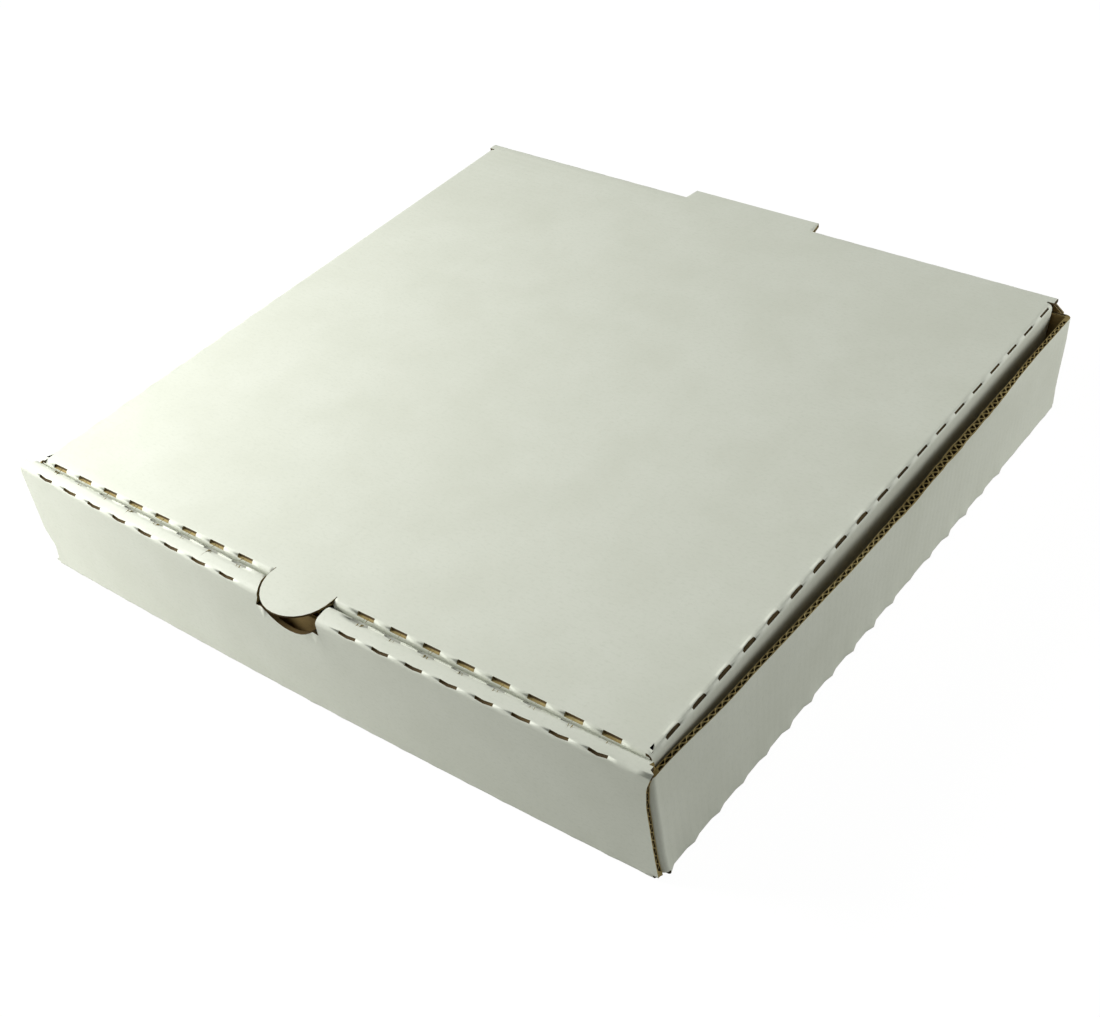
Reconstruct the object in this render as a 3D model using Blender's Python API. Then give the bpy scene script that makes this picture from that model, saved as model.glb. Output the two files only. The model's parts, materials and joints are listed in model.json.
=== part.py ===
"""A folded pizza box in single-wall corrugated board: a roll-over-front tray and its hinged lid.

The box is cut from one blank. The tray is its lower half: base, four walls, the roll-over front and
the dust flaps. The lid is its upper half, which swings on the perforated crease along the rear.
X runs along the front, Y runs from the front to the rear and Z is up. Lengths are in metres.
"""

import cmath
import math

import bmesh
import bpy
from mathutils import Matrix, Vector

# The board and its folds
BOARD = 0.0016  # thickness of the corrugated board
CREASE = 0.00025  # inside radius of a fold
GAP = 0.0003  # clearance between layers that lie on each other
OVERLAP = 0.003  # how far panels run into each other where they are one sheet
FOLD_STEPS = 4  # facets round a fold
STRAIGHT = math.radians(1.0)  # least turn that is a fold

# The tray
WIDTH = 0.2590  # over the side walls
DEPTH = 0.2550  # over the front and rear walls
HEIGHT = 0.0444  # to the top of the roll-over strip
SIDE_WALL = 0.0400  # height of the side walls
DUST_FLAP = 0.0600  # length of each dust flap from its side wall's face
DUST_TAPER = 0.0030  # how much a dust flap narrows, above and below
INNER_WALL_INSET = 0.0010  # from each end of the inner front wall to the side wall

# The locks that hold the inner front wall down
LOCK_WIDTH = 0.0220
LOCK_SPACING = 0.1300  # centre to centre
LOCK_END_PLAY = 0.0005

# The thumb notch in the front and the cut-out in the rear wall
NOTCH_RADIUS = 0.0133
NOTCH_DEPTH = 0.0135  # on the outer wall
INNER_NOTCH_DEPTH = 0.0075  # on the inner wall
REAR_TAB_WIDTH = 0.0570
REAR_TAB_TIP = 0.0550
REAR_TAB_REACH = 0.0057  # past the rear wall's face
REAR_TAB_PLAY = 0.0006

# The lid
LID_INSET = 0.0036  # from each side wall's outer face to the lid's crease
LID_FLAP = 0.0350  # depth of the lid's three flaps
FLAP_LEAN = math.radians(5.0)  # how far each flap leans inwards
FLAP_RELIEF = 0.0060  # what is cut from each flap's end beside its crease
FLAP_TAPER = 0.0140  # what is cut from each flap's end at its free edge
THUMB_PLAY = 0.0006  # between the thumb tab and its notch
REAR_FLAP_CLEAR = 0.0010  # from the lid's side flaps to the rear dust flaps

# The perforation that every crease has: a knife cut, then a bridge as long
CUT_PITCH = 0.0127
CUT_LENGTH = CUT_PITCH / 2
CUT_WEB = 0.00035  # liner left uncut under a cut that gapes
SLIT_DEPTH = 0.00095  # of a cut whose lips stay close, from the fold's two faces
REAR_SLIT_DEPTH = 0.0006  # of the cuts in the tight crease along the rear
FIRST_CROSS_CUT = 0.0103  # from the left side wall's face to the first cut of a crease along X
FIRST_SIDE_CUT = 0.0066  # from the rear to the first cut of a crease along Y
CUT_MARGIN = 0.0040  # least bridge at the end of a crease
THUMB_BRIDGE = 0.0190  # half of the stretch without cuts at the thumb notch

# The fluting, which shows where the board is cut across it
FLUTE_PITCH = CUT_PITCH / 4
LINER = 0.00025  # thickness of each liner
FLUTING = 0.0002  # thickness of the fluted sheet
FLUTE_MOUTH = 0.0023  # width of a flute against its liner
FLUTE_CREST = 0.0006  # width of a flute under the fluting's crest
FLUTE_OPEN = 0.0035  # how deep the flutes are open

# Places that follow from the sizes
FOLD = BOARD + CREASE
HALF = WIDTH / 2
STRIP = 3 * BOARD + 2 * GAP
LID_HALF = HALF - LID_INSET
THUMB_RADIUS = NOTCH_RADIUS - THUMB_PLAY
THUMB_REACH = THUMB_RADIUS - STRIP - GAP
FRONT = -(DEPTH + REAR_TAB_REACH - THUMB_REACH) / 2
REAR = FRONT + DEPTH
LID_FRONT = FRONT + STRIP + GAP
LID_BEND = FOLD * math.tan(math.pi / 4 + FLAP_LEAN / 2) + GAP  # from a lid crease to flat board
AXIS_Y = REAR - BOARD / 2
AXIS_Z = HEIGHT - BOARD / 2
REAR_WALL_TOP = HEIGHT - BOARD - GAP
CUT_DEPTH = BOARD - CUT_WEB

# A profile point (u, v) and a length w along the sheet become a place in space
PLANES = {
    "YZ": lambda u, v, w: (w, u, v),
    "XZ": lambda u, v, w: (u, w, v),
    "XY": lambda u, v, w: (u, v, w),
}


def clear_scene():
    """Remove whatever the scene holds."""
    for obj in list(bpy.data.objects):
        bpy.data.objects.remove(obj, do_unlink=True)


def mesh_object(name, points, faces):
    """A closed mesh object with its faces pointing out."""
    mesh = bpy.data.meshes.new(name)
    mesh.from_pydata(points, [], faces)
    work = bmesh.new()
    work.from_mesh(mesh)
    bmesh.ops.recalc_face_normals(work, faces=work.faces)
    work.to_mesh(mesh)
    work.free()
    obj = bpy.data.objects.new(name, mesh)
    bpy.context.collection.objects.link(obj)
    return obj


def sheet_stations(path, side):
    """The outer and inner points round each fold of a sheet, with the sheet's two ends there.

    The path follows the sheet's outer face as (u, v, low, high). The board lies on the left of the
    path where side is 1, and on its right where side is -1. Points are complex numbers u + vi.
    """
    corners = [complex(u, v) for u, v, _, _ in path]
    legs = [(after - here) / abs(after - here) for here, after in zip(corners, corners[1:])]
    stations = []
    for here, into, out, (_, _, low, high) in zip(corners, legs[:1] + legs, legs + legs[-1:], path):
        normal = into * side * 1j
        turn = abs(cmath.phase(out / into))
        if turn < STRAIGHT:
            stations.append((here, here + normal * BOARD, low, high))
            continue
        centre = here - into * FOLD * math.tan(turn / 2) + normal * FOLD
        for step in range(FOLD_STEPS + 1):
            spoke = -normal * cmath.exp(side * 1j * turn * step / FOLD_STEPS)
            stations.append((centre + spoke * FOLD, centre + spoke * CREASE, low, high))
    return stations


def folded_sheet(name, plane, path, side):
    """A strip of board folded along a path, square to the path's plane."""
    place = PLANES[plane]
    points = []
    for outer, inner, low, high in sheet_stations(path, side):
        points += [
            place(outer.real, outer.imag, low),
            place(inner.real, inner.imag, low),
            place(inner.real, inner.imag, high),
            place(outer.real, outer.imag, high),
        ]
    rings = len(points) // 4
    faces = [(0, 1, 2, 3)]
    for ring in range(rings - 1):
        at = 4 * ring
        for corner in range(4):
            after = (corner + 1) % 4
            faces.append((at + corner, at + after, at + 4 + after, at + 4 + corner))
    last = 4 * (rings - 1)
    faces.append((last + 3, last + 2, last + 1, last))
    return mesh_object(name, points, faces)


def prisms(name, plane, outlines, low, high):
    """One object of separate flat outlines, each given a thickness square to their plane."""
    place = PLANES[plane]
    points = []
    faces = []
    for outline in outlines:
        at = len(points)
        count = len(outline)
        points += [place(u, v, low) for u, v in outline] + [place(u, v, high) for u, v in outline]
        faces += [range(at, at + count), range(at + 2 * count - 1, at + count - 1, -1)]
        for index in range(count):
            here = at + index
            after = at + (index + 1) % count
            faces.append((here, after, count + after, count + here))
    return mesh_object(name, points, [tuple(face) for face in faces])


def prism(name, plane, outline, low, high):
    """A flat outline given a thickness square to its plane."""
    return prisms(name, plane, [outline], low, high)


def boxes(name, corners):
    """One object of separate boxes, each from its lowest and highest corner."""
    points = []
    faces = []
    for low, high in corners:
        at = len(points)
        for x in (low[0], high[0]):
            for y in (low[1], high[1]):
                points += [(x, y, low[2]), (x, y, high[2])]
        for face in ((0, 1, 3, 2), (4, 6, 7, 5), (0, 4, 5, 1), (2, 3, 7, 6), (0, 2, 6, 4), (1, 5, 7, 3)):
            faces.append([at + corner for corner in face])
    return mesh_object(name, points, faces)


def combine(target, operation, tool):
    """Join a tool to a piece, or cut the piece with it, and keep the tool out of the render."""
    tool.hide_render = True
    tool.hide_set(True)
    tool.display_type = "WIRE"
    modifier = target.modifiers.new(tool.name, "BOOLEAN")
    modifier.operation = operation
    modifier.solver = "EXACT"
    modifier.object = tool


def join(target, tool):
    """Make two overlapping pieces of the sheet one solid."""
    combine(target, "UNION", tool)


def cut(target, tool):
    """Take a cutter out of a piece."""
    combine(target, "DIFFERENCE", tool)


def mirrored(path):
    """A path's left-hand twin: u runs across the box."""
    return [(-u, v, low, high) for u, v, low, high in path]


def cross_cuts(half_length, bridge=0.0):
    """Where the cuts of a crease along X start, leaving the middle whole for a half-width of bridge."""
    starts = []
    start = -HALF + FIRST_CROSS_CUT
    while start + CUT_LENGTH < half_length - CUT_MARGIN:
        clear = start > bridge or start + CUT_LENGTH < -bridge
        if start > CUT_MARGIN - half_length and (clear or not bridge):
            starts.append(start)
        start += CUT_PITCH
    return starts


def side_cuts(front):
    """Where the cuts of a crease along Y start, counted from the rear."""
    starts = []
    start = REAR - FIRST_SIDE_CUT - CUT_LENGTH
    while start > front + CUT_MARGIN:
        starts.append(start)
        start -= CUT_PITCH
    return starts


def span(edge, inwards, depth):
    """The stretch that a knife takes at an edge: past its outside, and inwards to a depth."""
    return sorted((edge - inwards * BOARD, edge + inwards * depth))


def cross_perforation(name, y_edge, y_inwards, z_edge, z_inwards, starts, depth=SLIT_DEPTH):
    """The knife cuts of a crease along X, which open when it is folded."""
    y_low, y_high = span(y_edge, y_inwards, depth)
    z_low, z_high = span(z_edge, z_inwards, depth)
    found = [((start, y_low, z_low), (start + CUT_LENGTH, y_high, z_high)) for start in starts]
    return boxes(name, found)


def side_perforation(name, x_edge, x_inwards, z_edge, z_inwards, starts):
    """The knife cuts of a crease along Y."""
    x_low, x_high = span(x_edge, x_inwards, SLIT_DEPTH)
    z_low, z_high = span(z_edge, z_inwards, SLIT_DEPTH)
    found = [((x_low, start, z_low), (x_high, start + CUT_LENGTH, z_high)) for start in starts]
    return boxes(name, found)


def flute_outline(middle, at, hand):
    """One flute in section: wide against its liner, narrow under the fluting's crest."""
    liner = middle + hand * (BOARD / 2 - LINER)
    crest = middle - hand * (BOARD / 2 - LINER - FLUTING)
    return [
        (liner, at - FLUTE_MOUTH / 2),
        (liner, at + FLUTE_MOUTH / 2),
        (crest, at + FLUTE_CREST / 2),
        (crest, at - FLUTE_CREST / 2),
    ]


def open_flutes(name, plane, middle, first, last, low, high):
    """The flutes that stand open along a raw edge, in turn against one liner and the other."""
    count = 2 * int((last - first) / FLUTE_PITCH) - 1
    start = (first + last - (count - 1) * FLUTE_PITCH / 2) / 2
    outlines = [
        flute_outline(middle, start + index * FLUTE_PITCH / 2, 1 - 2 * (index % 2))
        for index in range(count)
    ]
    return prisms(name, plane, outlines, low, high)


def half_round(radius, depth, steps=16):
    """A half-round outline that hangs from (0, 0), from its left end to its right."""
    outline = []
    for step in range(steps + 1):
        angle = math.pi * step / steps
        outline.append((-radius * math.cos(angle), -depth * math.sin(angle)))
    return outline


def lock_centres():
    """Where the two lock tabs stand."""
    return (-LOCK_SPACING / 2, LOCK_SPACING / 2)


def tray_base():
    """The base with the lower ends of the front and rear walls, and slots for the locks."""
    reach = HALF - FOLD
    rise = FOLD + OVERLAP
    path = [
        (REAR, rise, -reach, reach),
        (REAR, 0.0, -reach, reach),
        (FRONT, 0.0, -reach, reach),
        (FRONT, rise, -reach, reach),
    ]
    base = folded_sheet("tray", "YZ", path, -1)
    low_y = FRONT + STRIP - BOARD - GAP
    high_y = FRONT + STRIP + GAP
    half_slot = LOCK_WIDTH / 2 + LOCK_END_PLAY
    slots = [
        ((x - half_slot, low_y, -BOARD), (x + half_slot, high_y, 2 * BOARD))
        for x in lock_centres()
    ]
    cut(base, boxes("lock_slots", slots))
    return base


def front_wall():
    """The outer front wall and the strip over its top, with the thumb notch."""
    low = FOLD + GAP
    path = [
        (FRONT, low, -HALF, HALF),
        (FRONT, HEIGHT, -HALF, HALF),
        (FRONT + STRIP - FOLD - GAP, HEIGHT, -HALF, HALF),
    ]
    wall = folded_sheet("front_wall", "YZ", path, -1)
    outline = [(x, HEIGHT + z) for x, z in half_round(NOTCH_RADIUS, NOTCH_DEPTH)]
    outline += [(NOTCH_RADIUS, HEIGHT + BOARD), (-NOTCH_RADIUS, HEIGHT + BOARD)]
    cut(wall, prism("thumb_notch", "XZ", outline, FRONT - BOARD, FRONT + BOARD + 2 * GAP))
    return wall


def inner_front_wall():
    """The wall rolled over to the inside, with its two lock tabs."""
    reach = HALF - BOARD - INNER_WALL_INSET
    path = [
        (FRONT + FOLD + 2 * GAP, HEIGHT, -reach, reach),
        (FRONT + STRIP, HEIGHT, -reach, reach),
        (FRONT + STRIP, BOARD + GAP, -reach, reach),
    ]
    wall = folded_sheet("inner_front_wall", "YZ", path, -1)
    low_y = FRONT + STRIP - BOARD
    tabs = [
        ((x - LOCK_WIDTH / 2, low_y, GAP), (x + LOCK_WIDTH / 2, FRONT + STRIP, BOARD + OVERLAP))
        for x in lock_centres()
    ]
    join(wall, boxes("lock_tabs", tabs))
    return wall


def strip_notch():
    """The gap that the thumb tab lies in, across the strip and down the inner wall."""
    low = (-NOTCH_RADIUS, FRONT - BOARD, HEIGHT - INNER_NOTCH_DEPTH)
    high = (NOTCH_RADIUS, FRONT + STRIP + BOARD, HEIGHT + BOARD)
    return boxes("strip_notch", [(low, high)])


def rear_wall():
    """The rear wall, up to the crease that carries the lid."""
    low = FOLD + GAP
    path = [(REAR, REAR_WALL_TOP, -HALF, HALF), (REAR, low, -HALF, HALF)]
    wall = folded_sheet("rear_wall", "YZ", path, -1)
    half = REAR_TAB_WIDTH / 2 + REAR_TAB_PLAY
    swing = math.hypot(REAR_TAB_REACH + BOARD / 2, BOARD / 2) + REAR_TAB_PLAY
    low = (-half, REAR - 2 * BOARD, AXIS_Z - swing)
    high = (half, REAR + BOARD, HEIGHT + BOARD)
    cut(wall, boxes("rear_cut_out", [(low, high)]))
    return wall


def side_fold(name, hand):
    """The crease between the base and a side wall."""
    low = FRONT + BOARD + GAP + FOLD + GAP
    high = REAR - BOARD - GAP - FOLD - GAP
    path = [
        (HALF - FOLD - OVERLAP, 0.0, low, high),
        (HALF, 0.0, low, high),
        (HALF, FOLD + OVERLAP, low, high),
    ]
    return folded_sheet(name, "XZ", path if hand > 0 else mirrored(path), hand)


def side_wall(name, hand):
    """A side wall with a dust flap folded in at each end."""
    low = FOLD + 2 * GAP
    front = FRONT + BOARD + GAP
    rear = REAR - BOARD - GAP
    end = HALF - DUST_FLAP
    end_low = low + DUST_TAPER
    end_high = SIDE_WALL - DUST_TAPER
    path = [
        (end, front, end_low, end_high),
        (HALF, front, low, SIDE_WALL),
        (HALF, rear, low, SIDE_WALL),
        (end, rear, end_low, end_high),
    ]
    return folded_sheet(name, "XY", path if hand > 0 else mirrored(path), hand)


def side_wall_flutes(name, hand):
    """The open flutes along the top of a side wall."""
    front = FRONT + BOARD + GAP + FOLD
    rear = REAR - BOARD - GAP - FOLD
    middle = hand * (HALF - BOARD / 2)
    return open_flutes(name, "XY", middle, front, rear, SIDE_WALL - FLUTE_OPEN, HEIGHT)


def wall_end_flutes(name, middle, top, hand):
    """The open flutes down one end of the front or rear wall."""
    low, high = sorted((hand * (HALF - FLUTE_OPEN), hand * (HALF + BOARD)))
    return open_flutes(name, "YZ", middle, FOLD + GAP, top, low, high)


def tray():
    """The lower half of the blank, folded up."""
    body = tray_base()
    notch = strip_notch()
    for piece in (front_wall(), inner_front_wall()):
        cut(piece, notch)
        join(body, piece)
    join(body, rear_wall())
    for side, hand in (("left", -1), ("right", 1)):
        join(body, side_fold(f"{side}_base_crease", hand))
        join(body, side_wall(f"{side}_side_wall", hand))
    whole = cross_cuts(HALF)
    split = cross_cuts(HALF, THUMB_BRIDGE)
    cut(body, cross_perforation("front_base_cuts", FRONT, 1, 0.0, 1, whole))
    cut(body, cross_perforation("rear_base_cuts", REAR, -1, 0.0, 1, whole))
    cut(body, cross_perforation("front_top_cuts", FRONT, 1, HEIGHT, -1, split))
    cut(body, cross_perforation("strip_cuts", FRONT + STRIP, -1, HEIGHT, -1, split, CUT_DEPTH))
    for side, hand in (("left", -1), ("right", 1)):
        starts = side_cuts(FRONT + STRIP)
        cut(body, side_perforation(f"{side}_base_cuts", hand * HALF, -hand, 0.0, 1, starts))
        cut(body, side_wall_flutes(f"{side}_wall_flutes", hand))
        cut(body, wall_end_flutes(f"front_{side}_flutes", FRONT + BOARD / 2, HEIGHT - FOLD, hand))
        cut(body, wall_end_flutes(f"rear_{side}_flutes", REAR - BOARD / 2, REAR_WALL_TOP, hand))
    return body


def lid_panel():
    """The top panel with its front flap, rounded along the rear about the hinge axis."""
    reach = LID_HALF - LID_BEND
    slope = math.tan(FLAP_LEAN)
    relief = HEIGHT - FOLD - FLAP_RELIEF
    bottom = HEIGHT - LID_FLAP
    path = [
        (AXIS_Y, HEIGHT, -reach, reach),
        (LID_FRONT, HEIGHT, -reach, reach),
        (
            LID_FRONT + (HEIGHT - relief) * slope,
            relief,
            FLAP_RELIEF - reach,
            reach - FLAP_RELIEF,
        ),
        (LID_FRONT + LID_FLAP * slope, bottom, FLAP_TAPER - reach, reach - FLAP_TAPER),
    ]
    panel = folded_sheet("lid", "YZ", path, 1)
    join(panel, rear_round(LID_HALF))
    return panel


def rear_round(reach):
    """The rear edge of the lid, a full round about the hinge axis."""
    outline = [(AXIS_Y - OVERLAP, HEIGHT - BOARD), (AXIS_Y, HEIGHT - BOARD)]
    for step in range(1, 8):
        angle = math.pi * step / 8 - math.pi / 2
        y = AXIS_Y + math.cos(angle) * BOARD / 2
        outline.append((y, AXIS_Z + math.sin(angle) * BOARD / 2))
    outline += [(AXIS_Y, HEIGHT), (AXIS_Y - OVERLAP, HEIGHT)]
    return prism("lid_rear_edge", "YZ", outline, -reach, reach)


def lid_side_flap(name, hand):
    """A side flap of the lid, cut back at both ends."""
    slope = math.tan(FLAP_LEAN)
    front = LID_FRONT + LID_BEND
    rear = REAR - 2 * BOARD - GAP - REAR_FLAP_CLEAR
    relief = HEIGHT - FOLD - FLAP_RELIEF
    bottom = HEIGHT - LID_FLAP
    path = [
        (LID_HALF - LID_BEND - OVERLAP, HEIGHT, front, rear),
        (LID_HALF, HEIGHT, front, rear),
        (LID_HALF - (HEIGHT - relief) * slope, relief, front + FLAP_RELIEF, rear),
        (LID_HALF - LID_FLAP * slope, bottom, front + FLAP_TAPER, rear - FLAP_RELIEF),
    ]
    return folded_sheet(name, "XZ", path if hand > 0 else mirrored(path), -hand)


def thumb_tab_hole():
    """What the half-round tab leaves in the front flap and its crease."""
    radius = THUMB_RADIUS + GAP
    under = [(x, HEIGHT - BOARD - GAP / 2 + z) for x, z in half_round(radius, radius - BOARD)]
    hole = prism("thumb_tab_hole", "XZ", under, LID_FRONT - BOARD, LID_FRONT + 3 * BOARD)
    low = (-radius, LID_FRONT - BOARD, HEIGHT - BOARD - GAP)
    high = (radius, LID_FRONT + LID_BEND, HEIGHT + BOARD)
    join(hole, boxes("thumb_tab_crease", [(low, high)]))
    return hole


def thumb_tab():
    """The half-round tab that stays in the lid's plane when the front flap is folded down."""
    root = LID_FRONT + LID_BEND + OVERLAP
    outline = [(x, LID_FRONT + y) for x, y in half_round(THUMB_RADIUS, THUMB_RADIUS)]
    outline += [(THUMB_RADIUS, root), (-THUMB_RADIUS, root)]
    return prism("thumb_tab", "XY", outline, HEIGHT - BOARD, HEIGHT)


def rear_tab():
    """The tab cut from the rear wall, which stays in the lid's plane."""
    outline = [
        (-REAR_TAB_WIDTH / 2, AXIS_Y - OVERLAP),
        (REAR_TAB_WIDTH / 2, AXIS_Y - OVERLAP),
        (REAR_TAB_WIDTH / 2, REAR),
        (REAR_TAB_TIP / 2, REAR + REAR_TAB_REACH),
        (-REAR_TAB_TIP / 2, REAR + REAR_TAB_REACH),
        (-REAR_TAB_WIDTH / 2, REAR),
    ]
    return prism("rear_tab", "XY", outline, HEIGHT - BOARD, HEIGHT)


def lid():
    """The upper half of the blank, folded down over the tray."""
    body = lid_panel()
    cut(body, thumb_tab_hole())
    join(body, thumb_tab())
    join(body, rear_tab())
    for side, hand in (("left", -1), ("right", 1)):
        join(body, lid_side_flap(f"lid_{side}_flap", hand))
    starts = cross_cuts(LID_HALF, THUMB_BRIDGE)
    cut(body, cross_perforation("lid_front_cuts", LID_FRONT, 1, HEIGHT, -1, starts, CUT_DEPTH))
    starts = cross_cuts(LID_HALF, REAR_TAB_WIDTH / 2 + REAR_TAB_PLAY)
    cut(body, cross_perforation("lid_rear_cuts", REAR, -1, HEIGHT, -1, starts, REAR_SLIT_DEPTH))
    for side, hand in (("left", -1), ("right", 1)):
        starts = side_cuts(LID_FRONT)
        edge = hand * LID_HALF
        cut(body, side_perforation(f"lid_{side}_cuts", edge, -hand, HEIGHT, -1, starts))
    return body


def linear(code):
    """An sRGB hex colour as linear values."""
    values = []
    for at in (0, 2, 4):
        value = int(code[at : at + 2], 16) / 255
        values.append(value / 12.92 if value <= 0.04045 else ((value + 0.055) / 1.055) ** 2.4)
    return (*values, 1.0)


def board_material(name, code):
    """Corrugated board seen from its white-lined side."""
    material = bpy.data.materials.new(name)
    material.use_nodes = True
    shader = material.node_tree.nodes["Principled BSDF"]
    shader.inputs["Base Color"].default_value = linear(code)
    shader.inputs["Roughness"].default_value = 0.75
    shader.inputs["Metallic"].default_value = 0.0
    return material


def apply_modifiers(obj):
    """Turn the joined and cut sheet into a plain mesh."""
    graph = bpy.context.evaluated_depsgraph_get()
    result = bpy.data.meshes.new_from_object(obj.evaluated_get(graph))
    obj.modifiers.clear()
    obj.data = result


def set_origin(obj, place):
    """Move an object's origin without moving its shape."""
    obj.data.transform(Matrix.Translation(-place))
    obj.location = place


def main():
    clear_scene()
    box_tray = tray()
    box_tray.data.materials.append(board_material("white_lined_board_tray", "D2D6C9"))
    box_lid = lid()
    box_lid.data.materials.append(board_material("white_lined_board_lid", "E6E8DF"))
    apply_modifiers(box_lid)
    set_origin(box_lid, Vector((0.0, AXIS_Y, AXIS_Z)))


main()
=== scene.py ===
"""The looks of a closed pizza box in white-lined corrugated board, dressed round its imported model.

The board is taken from the model and its faces are told apart as liners, raw edges and flutes. It is
given the box's own bow and wear and finished as paper, and the fluted middle sheet and torn fibres
are added. Lengths are in metres.
"""

import json
import math

import bmesh
import bpy
import numpy as np
from bpy.props import FloatProperty, FloatVectorProperty, IntProperty, PointerProperty
from mathutils import Matrix, Vector, noise
from mathutils.bvhtree import BVHTree


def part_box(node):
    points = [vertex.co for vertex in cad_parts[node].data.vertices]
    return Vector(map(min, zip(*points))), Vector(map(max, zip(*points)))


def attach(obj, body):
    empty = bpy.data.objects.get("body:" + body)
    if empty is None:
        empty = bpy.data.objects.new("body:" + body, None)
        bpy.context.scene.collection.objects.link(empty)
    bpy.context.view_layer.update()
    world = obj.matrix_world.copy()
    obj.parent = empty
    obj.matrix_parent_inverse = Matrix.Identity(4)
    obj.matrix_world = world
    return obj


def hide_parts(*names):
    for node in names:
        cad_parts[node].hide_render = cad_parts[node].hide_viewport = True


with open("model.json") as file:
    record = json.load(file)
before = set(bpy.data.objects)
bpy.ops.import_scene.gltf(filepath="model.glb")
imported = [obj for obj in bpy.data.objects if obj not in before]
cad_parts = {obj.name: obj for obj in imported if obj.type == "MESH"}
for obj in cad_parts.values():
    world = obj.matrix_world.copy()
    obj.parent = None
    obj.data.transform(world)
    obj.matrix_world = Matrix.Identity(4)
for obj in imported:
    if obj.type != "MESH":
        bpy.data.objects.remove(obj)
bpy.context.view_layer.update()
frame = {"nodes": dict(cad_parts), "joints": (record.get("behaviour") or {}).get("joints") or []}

bl_info = {
    "name": "Corrugated Pizza Box",
    "version": (1, 0, 0),
    "blender": (4, 5, 0),
    "location": "View3D > Sidebar > Pizza Box",
    "description": "Dresses a folded pizza box in white-lined corrugated board",
    "category": "Object",
}

MM = 0.001
TRAY_LOW, TRAY_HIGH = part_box("tray")
LID_LOW, LID_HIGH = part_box("lid")
HINGE = Vector(frame["joints"][0]["pos_m"])

# Places read from the model
HEIGHT = TRAY_HIGH.z
BOARD = 2 * (HEIGHT - HINGE.z)
HALF = TRAY_HIGH.x
FRONT = TRAY_LOW.y
REAR = TRAY_HIGH.y
LID_HALF = LID_HIGH.x

# Sizes that the model was built to
LAYER_GAP = 0.3 * MM
CREASE = 0.25 * MM
SIDE_WALL = 40.0 * MM
CUT_PITCH = 12.7 * MM
CUT_LENGTH = CUT_PITCH / 2
FIRST_CROSS_CUT = 10.3 * MM
FIRST_SIDE_CUT = 6.6 * MM
SLIT = 0.95 * MM
THUMB_BRIDGE = 19.0 * MM
NOTCH_RADIUS = 13.3 * MM
FLAP_RELIEF = 6.0 * MM
FOLD = BOARD + CREASE
STRIP = 3 * BOARD + 2 * LAYER_GAP
LID_FRONT = FRONT + STRIP + LAYER_GAP
CUT_DEPTH = BOARD - 0.35 * MM
BEND = FOLD * math.tan(math.pi / 4 + math.radians(2.5)) + LAYER_GAP

# Wear that has no property of its own: how far each place is pushed or stands out
TAB_OFFSET = 2.2 * MM  # thumb tab and notch, to the left
TAB_DROP = 0.5 * MM  # thumb tab's end, down
TAB_PRESSED = 0.55  # share of the tab's thickness that thumbs have pressed flat
NOTCH_PINCH = 2.0 * MM  # notch's left side, in on the tab
NOTCH_RISE = 1.6 * MM  # notch's floor, up
RIGHT_FRONT_PINCH = 1.5 * MM  # right wall's front end, in
LEFT_TOP_LEAN = 0.6 * MM  # left wall's top, out
LEFT_REAR_LEAN = 2.6 * MM  # left wall's rear end, in
LEFT_REAR_TUCK = 2.2 * MM  # rear wall's left end, in
FRONT_FOOT_LIP = 0.12 * MM
FRONT_TOP_LIP = 0.3 * MM
REAR_FOOT_LIP = 0.55 * MM
SIDE_FOOT_LIP = 0.75 * MM
STRIP_LINER_PUSH = Vector((0, 0.98 * MM, -0.72 * MM))
TRAY_CEILING = HEIGHT + 0.3 * MM
LID_CEILING = HEIGHT + 1.15 * MM

# Width of the lips beside the lid's side cuts, and the torn fibres of the front cuts
LIP_WIDTH = 1.35 * MM
FIBRES_PER_CUT = 2
FIBRE_LENGTH = 2.2 * MM
FIBRE_WIDTH = 0.2 * MM

STILL = Vector((0, 0, 0))

# Which material a face of the board takes; the flute core's faces take a paper painted dark as shade
OUTER, INNER, EDGE, SHADED_CORE = range(4)

# The frame of the photograph, in pixels
PHOTO_WIDTH = 1100
PHOTO_HEIGHT = 1017
FOCAL_PIXELS = 1671.3


def linear(code):
    """An sRGB hex colour as linear values with alpha."""
    values = []
    for at in (0, 2, 4):
        value = int(code[at : at + 2], 16) / 255
        values.append(value / 12.92 if value <= 0.04045 else ((value + 0.055) / 1.055) ** 2.4)
    return (*values, 1.0)


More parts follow.
